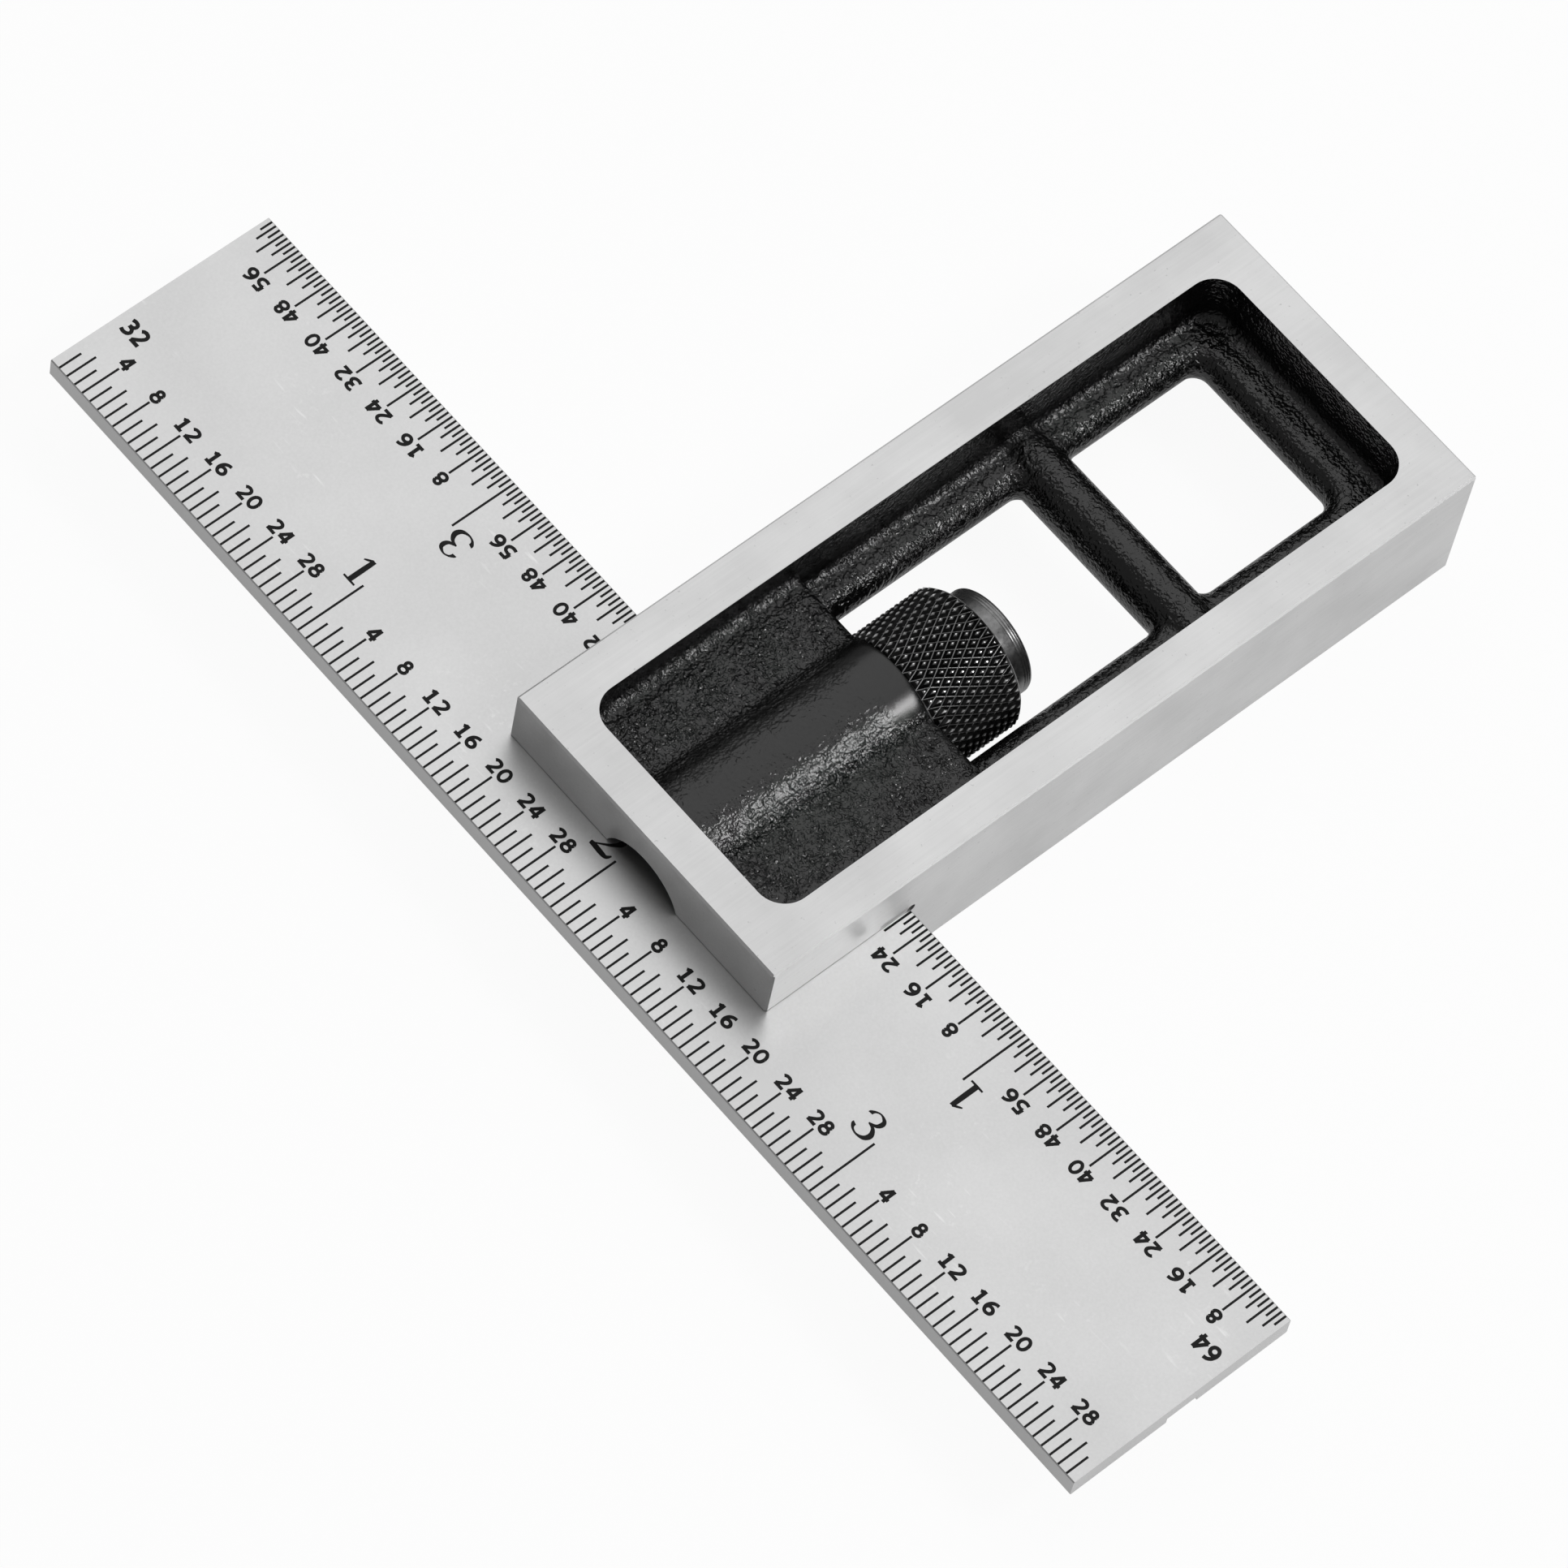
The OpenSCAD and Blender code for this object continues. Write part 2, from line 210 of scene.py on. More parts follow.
def where_on_boss(tree, spot, x, from_middle):
    """1 on the boss, clear of its foot and as far as the nut, 0 elsewhere."""
    boss_axis = Vector((0, head_middle.y, nut_axis.z))
    floor_at = head_middle.z - floor_d
    skin_out, skin_in = 0.08, 0.02
    foot_low, foot_high = 0.3, 0.75
    past_nut = 0.2
    on_boss = add(tree, "MapRange", {"Value": distance_from_axis(tree, spot, boss_axis),
                                     "From Min": boss_r + skin_out, "From Max": boss_r + skin_in})
    over_floor = add(tree, "MapRange", {"Value": from_middle, "From Min": floor_at + foot_low,
                                        "From Max": floor_at + foot_high})
    before_nut = add(tree, "Math", {0: x, 1: nut_low.x + past_nut}, operation="LESS_THAN")
    on_boss = add(tree, "Math", {0: on_boss, 1: over_floor}, operation="MULTIPLY")
    return add(tree, "Math", {0: on_boss, 1: before_nut}, operation="MULTIPLY")


def where_off_wall(tree, y, beside_window):
    """1 out on the floors, 0 along the feet of the long walls and on the ledges.

    A ledge is the strip between a window and a wall. It counts as 2.3 mm nearer to the wall
    than it is, so that all of it is as crumpled as the wall's foot.
    """
    foot_ends, floor_starts, ledge_shift = 0.9, 1.5, 2.3
    aside = add(tree, "Math", {0: y, 1: head_middle.y}, operation="SUBTRACT")
    aside = add(tree, "Math", {0: aside}, operation="ABSOLUTE")
    aside = add(tree, "Math", {0: beside_window, 1: ledge_shift, 2: aside},
                operation="MULTIPLY_ADD")
    return add(tree, "MapRange", {"Value": aside, "From Min": wall_y - foot_ends,
                                  "From Max": wall_y - floor_starts})


def enamel_heights(tree, spot, grit, on_floor, at_wall, beside_window):
    """Heights of the dried enamel: grit and pebbles, less cracks, plus crumples and pits.

    Grit is strongest on the floors, which are pitted too. Crumples are strongest at the
    walls and on the ledges.
    """
    pebble_w, crack_w, crumple_w = 0.28, 0.74, 0.38
    pebble_share, crack_share = 0.45, 0.32
    pebbles = add(tree, "TexVoronoi", {"Vector": spot, "Scale": 1 / pebble_w, "Smoothness": 0.4},
                  feature="SMOOTH_F1")
    cracks = add(tree, "TexNoise", {"Vector": spot, "Scale": 1 / crack_w, "Detail": 2,
                                    "Roughness": 0.5, "Distortion": 0.8},
                 noise_type="RIDGED_MULTIFRACTAL")
    crumples = add(tree, "TexNoise", {"Vector": spot, "Scale": 1 / crumple_w, "Detail": 1.5,
                                      "Distortion": 0.6})
    pits = add(tree, "ValToRGB", {0: crumples}, stops=((0.4, 0.0), (0.5, 1.0)))
    pits = add(tree, "Math", {0: pits, 1: on_floor}, operation="MULTIPLY")

    # How much of each a place has
    full_grit = add(tree, "MapRange", {"Value": beside_window, "To Min": 2.2, "To Max": 1.2})
    gritty = add(tree, "MapRange", {"Value": on_floor, "To Min": 0.45, "To Max": full_grit})
    crumpled = add(tree, "Math", {0: at_wall, 1: 1.6, 2: 0.8}, operation="MULTIPLY_ADD")
    pitted = add(tree, "MapRange", {"Value": beside_window, "To Min": 0.7, "To Max": 0})

    heights = add(tree, "Math", {0: pebbles, 1: pebble_share, 2: grit},
                  operation="MULTIPLY_ADD")
    heights = add(tree, "Math", {0: heights, 1: gritty}, operation="MULTIPLY")
    heights = add(tree, "Math", {0: cracks, 1: -crack_share, 2: heights},
                  operation="MULTIPLY_ADD")
    heights = add(tree, "Math", {0: crumples, 1: crumpled, 2: heights},
                  operation="MULTIPLY_ADD")
    return add(tree, "Math", {0: pits, 1: pitted, 2: heights}, operation="MULTIPLY_ADD")


def cast_shape(tree, from_middle, swells, smooth):
    """The lumpy shape under the wrinkles: paint fills the foot of each wall, less at the rims."""
    full_d, full_r = 1.6, 1.0
    thin_d, thin_r = 0.6, 0.15
    fill_r = add(tree, "MapRange", {
        "Value": from_middle, "From Min": head_middle.z - full_d,
        "From Max": head_middle.z - thin_d, "To Min": full_r * MM, "To Max": thin_r * MM})
    cast_edge = add(tree, "Bevel", {"Radius": fill_r}, samples=8)
    lumpy = add(tree, "MapRange", {"Value": smooth, "To Min": 1.0, "To Max": 0.15})
    return add(tree, "Bump", {"Height": swells, "Strength": lumpy, "Distance": 0.1 * MM,
                              "Normal": cast_edge})


def wrinkle_enamel(tree, spot, x, y, z):
    """Black enamel over a rough casting.

    It has grit and pebbles about a quarter of a millimetre across, cracks, crumples and the
    slow swells of the casting. The boss is smooth beside the nut, where it was dressed.
    """
    from_middle = add(tree, "Math", {0: z, 1: head_middle.z}, operation="SUBTRACT")
    from_middle = add(tree, "Math", {0: from_middle}, operation="ABSOLUTE")
    on_boss = where_on_boss(tree, spot, x, from_middle)
    off_boss = add(tree, "Math", {0: 1.0, 1: on_boss}, operation="SUBTRACT")
    dressed_from, dressed_to, window_blend = 3.5, 1.2, 0.4
    beside_nut = add(tree, "MapRange", {"Value": x, "From Min": nut_low.x - dressed_from,
                                        "From Max": nut_low.x - dressed_to})
    smooth = add(tree, "Math", {0: on_boss, 1: beside_nut}, operation="MULTIPLY")
    beside_window = add(tree, "MapRange", {"Value": x, "From Min": nut_low.x - window_blend,
                                           "From Max": nut_low.x + window_blend})
    off_wall = where_off_wall(tree, y, beside_window)
    on_floor = add(tree, "Math", {0: off_boss, 1: off_wall}, operation="MULTIPLY")
    at_wall = add(tree, "Math", {0: off_boss, 1: on_floor}, operation="SUBTRACT")

    grit_w, swell_w = 0.23, 1.4
    grit = add(tree, "TexNoise", {"Vector": spot, "Scale": 1 / grit_w, "Detail": 1.2})
    swells = add(tree, "TexNoise", {"Vector": spot, "Scale": 1 / swell_w, "Detail": 2})
    heights = enamel_heights(tree, spot, grit, on_floor, at_wall, beside_window)
    patchy = add(tree, "MapRange", {"Value": swells, "From Min": 0.35, "From Max": 0.6,
                                    "To Min": 0.5, "To Max": 0.85})
    strong = add(tree, "Math", {0: smooth, 1: -0.9, 2: patchy}, operation="MULTIPLY_ADD",
                 use_clamp=True)
    wrinkles = add(tree, "Bump", {"Height": heights, "Strength": strong, "Distance": 0.09 * MM,
                                  "Normal": cast_shape(tree, from_middle, swells, smooth)})
    black = add(tree, "ValToRGB", {0: grit}, stops=((0.35, "030303"), (0.7, "0d0d0d")))
    rough = add(tree, "MapRange", {"Value": on_boss, "To Min": 0.14, "To Max": 0.24})
    return add(tree, "BsdfPrincipled", {"Base Color": black, "Roughness": rough,
                                        "Specular IOR Level": 0.55, "Normal": wrinkles})


def ground_and_painted_iron():
    """Grey cast iron, surface ground outside, with black wrinkle enamel in the pockets.

    Grinding gives an even satin with fine lines along each face, and bright broken edges.
    The enamel dries into grit, pits and cracks, so it glints in points, and its highlights
    break up.
    """
    made, tree, spot = material("ground_cast_iron_with_wrinkle_enamel")
    x, y, z = (add(tree, "SeparateXYZ", {0: spot}, out=axis) for axis in "XYZ")
    iron, oiled_with_painted_shade = ground_iron(tree, spot)
    inside = add(tree, "MixShader", {"Fac": where_machined(tree, spot, x, z),
                                     1: wrinkle_enamel(tree, spot, x, y, z), 2: oiled_with_painted_shade})
    whole = add(tree, "MixShader", {"Fac": where_ground(tree, spot), 1: inside, 2: iron})
    add(tree, "OutputMaterial", {0: whole})
    return made


def satin_chrome():
    """Steel rule stock, satin chrome plated over a grained surface.

    The eye gets a pale even grey that hardly mirrors, faint clouds, and hair-fine rub marks.
    """
    made, tree, spot = material("satin_chrome_plate")
    cloud_w, grain_w, frost_w, rub_w, patch_w, scuff_w = 11, 0.17, 0.2, 0.33, 8, 0.8
    clouds = add(tree, "TexNoise", {"Vector": spot, "Scale": 1 / cloud_w, "Detail": 5})
    along = add(tree, "Mapping", {"Vector": spot, "Scale": (1, 0.05, 1)})
    grain = add(tree, "TexNoise", {"Vector": along, "Scale": 1 / grain_w})
    frost = add(tree, "TexNoise", {"Vector": spot, "Scale": 1 / frost_w, "Detail": 2})
    # Rub marks: thin pale streaks on a slant, drawn wider than the real ones, which are under
    # 0.05 mm, and only in patches
    rub_turn, rub_share = 0.9, 0.45
    slant = add(tree, "Mapping", {"Vector": spot, "Rotation": (0, 0, rub_turn),
                                  "Scale": (1, 0.16, 1)})
    streaks = add(tree, "TexNoise", {"Vector": slant, "Scale": 1 / rub_w, "Detail": 1})
    streaks = add(tree, "ValToRGB", {0: streaks}, stops=((0.68, 0.0), (0.78, 1.0)))
    patches = add(tree, "TexNoise", {"Vector": spot, "Scale": 1 / patch_w, "Detail": 3})
    patches = add(tree, "ValToRGB", {0: patches}, stops=((0.5, 0.0), (0.62, 1.0)))
    scuffs = add(tree, "TexNoise", {"Vector": spot, "Scale": 1 / scuff_w, "Detail": 4,
                                    "Roughness": 0.7})
    scuffs = add(tree, "ValToRGB", {0: scuffs}, stops=((0.6, 0.0), (0.72, 0.6)))
    rubs = add(tree, "Math", {0: streaks, 1: scuffs}, operation="MAXIMUM")
    rubs = add(tree, "Math", {0: rubs, 1: patches}, operation="MULTIPLY")
    rubs = add(tree, "Math", {0: rubs, 1: rub_share}, operation="MULTIPLY")
    tone = add(tree, "Math", {0: frost, 1: 0.3, 2: clouds}, operation="MULTIPLY_ADD")
    plain = add(tree, "ValToRGB", {0: tone}, stops=((0.45, "c8c8c8"), (0.85, "d6d6d6")))
    colour = add(tree, "MixRGB", {"Fac": rubs, "Color1": plain, "Color2": linear("ececec")})
    # The two long edges are ground after plating, so they are a darker bare steel
    from_middle = add(tree, "Math", {0: add(tree, "SeparateXYZ", {0: spot}, out="X"),
                                     1: (outer_x + inner_x) / 2}, operation="SUBTRACT")
    from_middle = add(tree, "Math", {0: from_middle}, operation="ABSOLUTE")
    ground_d = 0.004
    at_edge = add(tree, "Math", {0: from_middle, 1: (inner_x - outer_x) / 2 - ground_d},
                  operation="GREATER_THAN")
    colour = add(tree, "MixRGB", {"Fac": at_edge, "Color1": colour, "Color2": linear("b2b2b2")})
    rough = add(tree, "Math", {0: clouds, 1: 0.12, 2: 0.33}, operation="MULTIPLY_ADD")
    relief = add(tree, "Math", {0: grain, 1: frost}, operation="ADD")
    relief = add(tree, "Bump", {"Height": relief, "Strength": 0.3, "Distance": 0.003 * MM})
    add(tree, "OutputMaterial", {0: add(tree, "BsdfPrincipled", {
        "Base Color": colour, "Metallic": 1.0, "Roughness": rough, "Normal": relief})})
    return made


def black_fill():
    """Black enamel wiped into the etched marks: dull, and a little worn.

    The eye gets even black lines with no shine beside the bright plate.
    """
    made, tree, spot = material("black_filled_etching")
    wear_w = 0.5
    wear = add(tree, "TexNoise", {"Vector": spot, "Scale": 1 / wear_w, "Detail": 3})
    colour = add(tree, "ValToRGB", {0: wear}, stops=((0.35, "050505"), (0.75, "1c1c1c")))
    rough = add(tree, "Math", {0: wear, 1: 0.3, 2: 0.45}, operation="MULTIPLY_ADD")
    relief = add(tree, "Bump", {"Height": wear, "Strength": 0.2, "Distance": 0.01 * MM})
    add(tree, "OutputMaterial", {0: add(tree, "BsdfPrincipled", {
        "Base Color": colour, "Roughness": rough, "Normal": relief,
        "Specular IOR Level": 0.25})})
    return made


def black_oxide(name, stops):
    """Blackened steel: near black with a metal's gloss, and bright where it is burnished.

    The stops give, by the distance from the turning axis in millimetres, the share that is worn
    down to steel: real wear on the points of the knurl, and painted highlight along the bottoms
    of its grooves.
    """
    made, tree, spot = material(name)
    off_axis = distance_from_axis(tree, spot, nut_axis)
    inner, outer = stops[0][0], stops[-1][0]
    depth = add(tree, "MapRange", {"Value": off_axis, "From Min": inner, "From Max": outer})
    bare_and_painted_highlight = add(tree, "ValToRGB", {0: depth}, stops=[
        ((place - inner) / (outer - inner), share) for place, share in stops])
    speck_w, ring_w = 0.3, 0.11
    speck = add(tree, "TexNoise", {"Vector": spot, "Scale": 1 / speck_w, "Detail": 2})
    wear = add(tree, "Math", {0: speck, 1: 0.8, 2: 0.5}, operation="MULTIPLY_ADD")
    bare_and_painted_highlight = add(tree, "Math", {0: bare_and_painted_highlight, 1: wear}, operation="MULTIPLY", use_clamp=True)
    # Turning marks: fine rings round the axis, about nine to the millimetre
    round_axis = add(tree, "Mapping", {"Vector": spot, "Scale": (1, 0.02, 0.02)})
    rings = add(tree, "TexNoise", {"Vector": round_axis, "Scale": 1 / ring_w})
    oxide = add(tree, "ValToRGB", {0: speck}, stops=((0.3, "1a1a1a"), (0.75, "2c2c2c")))
    # Pale steel mixed in: worn spots, and painted highlight lines in the bottoms of the grooves
    colour = add(tree, "MixRGB", {"Fac": bare_and_painted_highlight, "Color1": oxide, "Color2": linear("dcdcdc")})
    relief = add(tree, "Math", {0: rings, 1: speck}, operation="ADD")
    relief = add(tree, "Bump", {"Height": relief, "Strength": 0.3, "Distance": 0.004 * MM})
    rough = add(tree, "Math", {0: speck, 1: 0.15, 2: 0.22}, operation="MULTIPLY_ADD")
    add(tree, "OutputMaterial", {0: add(tree, "BsdfPrincipled", {
        "Base Color": colour, "Metallic": 0.9, "Roughness": rough, "Normal": relief})})
    return made


def drawn_wire():
    """Oil-tempered spring wire: grey brown and smooth, with draw lines along it."""
    made, tree, spot = material("drawn_spring_wire")
    along = add(tree, "Mapping", {"Vector": spot, "Scale": (1, 0.3, 0.3)})
    line_w = 0.12
    lines = add(tree, "TexNoise", {"Vector": along, "Scale": 1 / line_w})
    colour = add(tree, "ValToRGB", {0: lines}, stops=((0.35, "4d4b48"), (0.7, "6f6d69")))
    relief = add(tree, "Bump", {"Height": lines, "Strength": 0.25, "Distance": 0.004 * MM})
    add(tree, "OutputMaterial", {0: add(tree, "BsdfPrincipled", {
        "Base Color": colour, "Metallic": 0.9, "Roughness": 0.35, "Normal": relief})})
    return made


def paper_sweep():
    """White seamless paper, shown near white and still taking the object's shadow."""
    made, tree, spot = material("white_paper_sweep")
    fibre_w = 0.8
    glow_seen, glow_mirrored = 0.94, 0.45
    fibre = add(tree, "TexNoise", {"Vector": spot, "Scale": 1 / fibre_w, "Detail": 3})
    white = add(tree, "ValToRGB", {0: fibre}, stops=((0.3, "f4f4f4"), (0.7, "fafafa")))
    paper = add(tree, "BsdfDiffuse", {"Color": white})
    glow = add(tree, "Emission", {"Color": (1, 1, 1, 1), "Strength": 1.0})
    seen = add(tree, "Math", {0: add(tree, "LightPath", out="Is Camera Ray"),
                              1: add(tree, "LightPath", out="Is Transmission Ray")},
               operation="MAXIMUM")
    mirrored = add(tree, "Math", {0: add(tree, "LightPath", out="Is Glossy Ray"),
                                  1: glow_mirrored}, operation="MULTIPLY")
    share = add(tree, "Math", {0: seen, 1: glow_seen, 2: mirrored}, operation="MULTIPLY_ADD")
    add(tree, "OutputMaterial", {0: add(tree, "MixShader", {"Fac": share, 1: paper, 2: glow})})
    return made


# Head, blade, bolt and spring keep their CAD shapes. The nut is worn to steel on the points of
# its knurl and a little on its collar, and its grooves carry lines of painted highlight along
# their bottoms; the bolt is burnished on its shoulder.
iron = ground_and_painted_iron()
chrome = satin_chrome()
fill = black_fill()
nut_black = black_oxide("black_oxide_on_knurled_steel", (
    (collar_r - 0.15, 0.3), (collar_r + 0.05, 0.3), (collar_r + 0.1, 0.0),
    # The bottoms of the grooves: lines of painted highlight
    (valley_r - 0.06, 0.0), (valley_r - 0.02, 0.6), (valley_r + 0.02, 0.6),
    (valley_r + 0.04, 0.0), (nut_r - 0.1, 0.0), (nut_r - 0.02, 1.0), (nut_r, 1.0)))
bolt_black = black_oxide("black_oxide_on_turned_steel", ((3.5, 0.0), (3.8, 0.4)))
wire = drawn_wire()
for node_name, finish in (("head", iron), ("blade", chrome), ("clamp_bolt", bolt_black),
                          ("release_spring", wire)):
    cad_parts[node_name].data.materials.clear()
    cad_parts[node_name].data.materials.append(finish)


# The ways from the middle of a pyramid to its four corners, as steps round and along
CORNER_WAYS = ((1, 0), (0, 1), (-1, 0), (0, -1))


def nut_point(mesh, along, turn, radius):
    """A corner of the nut, from how far along, round (in steps of the knurl) and out it is."""
    angle = 2 * math.pi * turn / around
    return mesh.verts.new(((nut_axis.x + along) * MM,
                           (nut_axis.y + radius * math.cos(angle)) * MM,
                           (nut_axis.z + radius * math.sin(angle)) * MM))


def nut_ring(mesh, along, radius):
    """A ring of corners round the nut's axis."""
    return [nut_point(mesh, along, i, radius) for i in range(around)]


def knurl_valleys(mesh):
    """The corners between pyramids. At the bevels they run out to where the cone cuts them."""
    run_out = bevel_l * (valley_r - bevel_r) / (nut_r - bevel_r)
    valleys = {}
    for j in range(rows + 1):
        along = bevel_l + j * row_step
        if j == 0:
            along = run_out
        if j == rows:
            along = barrel_l - run_out
        for i in range(1 - j % 2, around, 2):
            valleys[i, j] = nut_point(mesh, along, i, valley_r)
    return valleys


def knurl_tops(mesh):
    """The corners of the flattened tops: four to a top, or three where a bevel cuts it."""
    half_flat = 0.13
    tops = {}
    for j in range(rows + 1):
        for i in range(j % 2, around, 2):
            for di, dj in CORNER_WAYS:
                if 0 <= j + dj <= rows:
                    tops[i, j, di, dj] = nut_point(
                        mesh, bevel_l + (j + dj * half_flat) * row_step, i + di * half_flat,
                        nut_r)
    return tops


def knurl_faces(mesh, valleys, tops):
    """The flattened tops, and the slopes from each of them down to the grooves."""
    for j in range(rows + 1):
        for i in range(j % 2, around, 2):
            top = []
            for (di, dj), (ei, ej) in zip(CORNER_WAYS, CORNER_WAYS[1:] + CORNER_WAYS[:1]):
                if (i, j, di, dj) in tops:
                    top.append(tops[i, j, di, dj])
                if (i, j, di, dj) in tops and (i, j, ei, ej) in tops:
                    mesh.faces.new((
                        valleys[(i + di) % around, j + dj], valleys[(i + ei) % around, j + ej],
                        tops[i, j, ei, ej], tops[i, j, di, dj]))
            mesh.faces.new(top)


def knurl_bevel(mesh, ring, j, valleys, tops):
    """The bevel between the ring at one end of the barrel and the row of tops at that end."""
    for i in range(j % 2, around, 2):
        left, right = (i - 1) % around, (i + 1) % around
        a, b = tops[i, j, -1, 0], tops[i, j, 1, 0]
        mesh.faces.new((ring[left], ring[i], a, valleys[left, j]))
        mesh.faces.new((ring[i], b, a))
        mesh.faces.new((ring[i], ring[right], valleys[right, j], b))


def collar_profile():
    """The collar as places along and radii: fillet, three turned lines, rounded rim, bore."""
    turned_w, turned_d, mouth = 0.04, 0.015, 0.3
    profile = [(barrel_l, collar_r + 0.4), (barrel_l + 0.06, collar_r + 0.18),
               (barrel_l + 0.2, collar_r + 0.04), (barrel_l + 0.36, collar_r)]
    for groove in (1.3, 1.5, 1.7):
        along = barrel_l + groove
        profile += [(along - turned_w, collar_r), (along, collar_r - turned_d),
                    (along + turned_w, collar_r)]
    return profile + [
        (nut_l - 0.26, collar_r), (nut_l - 0.12, collar_r - 0.05),
        (nut_l - 0.03, collar_r - 0.16), (nut_l, collar_r - mouth),
        (nut_l, nut_bore_r + mouth), (nut_l - mouth, nut_bore_r), (mouth, nut_bore_r),
        (0, nut_bore_r + mouth)]


def lock_nut():
    """The turned nut with its diamond knurl, in one closed skin.

    Two sets of 45 rolled grooves cross and leave pyramids with slightly flattened tops.
    """
    sharp_from = math.radians(32)
    mesh = bmesh.new()
    valleys = knurl_valleys(mesh)
    tops = knurl_tops(mesh)
    knurl_faces(mesh, valleys, tops)
    start = nut_ring(mesh, 0, bevel_r)
    stop = nut_ring(mesh, barrel_l, bevel_r)
    knurl_bevel(mesh, start, 0, valleys, tops)
    knurl_bevel(mesh, stop, rows, valleys, tops)
    rings = [stop]
    rings += [nut_ring(mesh, along, radius) for along, radius in collar_profile()]
    rings += [start]
    for first, second in zip(rings, rings[1:]):
        for i in range(around):
            j = (i + 1) % around
            mesh.faces.new((first[i], first[j], second[j], second[i]))
    bmesh.ops.recalc_face_normals(mesh, faces=mesh.faces)
    for face in mesh.faces:
        middle = face.calc_center_median() / MM - nut_axis
        inside = math.hypot(middle.y, middle.z) < valley_r - 0.1
        face.smooth = inside or middle.x > barrel_l
    made = piece("knurled_nut", mesh, "lock_nut", nut_black)
    made.data.set_sharp_from_angle(angle=sharp_from)
    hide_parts("lock_nut")


lock_nut()


# One edge of a face of the blade: its x, the way inward, and the y and way that it reads from
Edge = namedtuple("Edge", "x inward zero_y onward")
outer_edge = Edge(outer_x, 1, blade_high.y, -1)
inner_edge = Edge(inner_x, -1, blade_low.y, 1)
outer_edge_under = Edge(outer_x, 1, blade_low.y, 1)
inner_edge_under = Edge(inner_x, -1, blade_high.y, -1)


def mark(mesh, x0, x1, y, top, side):
    """One filled line across the blade from x0 to x1, a hair proud of the face."""
    low, high = sorted((x0, x1))
    z0, z1 = sorted((top - side * sunk, top + side * proud))
    for vertex in bmesh.ops.create_cube(mesh, size=1)["verts"]:
        vertex.co = Vector((low if vertex.co.x < 0 else high,
                            y + (mark_w / 2 if vertex.co.y > 0 else -mark_w / 2),
                            z0 if vertex.co.z < 0 else z1)) * MM


def graduate(name, edge, parts, lengths, top, side=1):
    """A row of graduations, with so many parts to the inch.

    The lengths say how far in from the edge a line ends: 1 is for an inch line, 2 for a half
    inch, 4 for a quarter and so on.
    """
    edge_gap = 0.07
    mesh = bmesh.new()
    for k in range(1, blade_inches * parts):
        fraction = k % parts
        kind = 1
        while fraction and kind < parts and fraction % (parts // kind):
            kind *= 2
        y = edge.zero_y + edge.onward * k * INCH / parts
        mark(mesh, edge.x + edge.inward * edge_gap, edge.x + edge.inward * lengths[kind], y,
             top, side)
    return piece(name, mesh, "blade", fill)


graduate("graduations_in_32nds", outer_edge, 32,
         {1: 5.55, 2: 3.15, 4: 3.15, 8: 3.15, 16: 2.5, 32: 1.9}, blade_top)
graduate("graduations_in_64ths", inner_edge, 64,
         {1: 5.38, 2: 3.0, 4: 3.0, 8: 3.0, 16: 2.38, 32: 1.73, 64: 1.07}, blade_top)
graduate("graduations_in_8ths_under", outer_edge_under, 8,
         {1: 5.55, 2: 4.2, 4: 3.6, 8: 3.15}, blade_under, -1)
graduate("graduations_in_16ths_under", inner_edge_under, 16,
         {1: 5.38, 2: 4.0, 4: 3.5, 8: 3.0, 16: 2.38}, blade_under, -1)


def pen(path):
    """The two sides of a stroke that runs smoothly through (x, y, half width) knots."""
    steps = 6
    knots = [path[0]] + list(path) + [path[-1]]
    spots = []
    for a, b, c, d in zip(knots, knots[1:], knots[2:], knots[3:]):
        for s in range(steps):
            t = s / steps
            spots.append([0.5 * (2 * b[k] + (c[k] - a[k]) * t
                                 + (2 * a[k] - 5 * b[k] + 4 * c[k] - d[k]) * t * t
                                 + (3 * b[k] - a[k] - 3 * c[k] + d[k]) * t ** 3)
                          for k in range(3)])
    spots.append(list(path[-1]))
    left, right = [], []
    for i, (x, y, half) in enumerate(spots):
        ahead = spots[min(i + 1, len(spots) - 1)]
        behind = spots[max(i - 1, 0)]
        across = Vector((behind[1] - ahead[1], ahead[0] - behind[0])).normalized() * half
        left.append((x + across.x, y + across.y))
        right.append((x - across.x, y - across.y))
    return left, right


def loop(cx, cy, rx, ry):
    """Knots of a closed oval stroke."""
    return [(cx + rx * math.cos(a * math.pi / 6), cy + ry * math.sin(a * math.pi / 6))
            for a in range(13)]
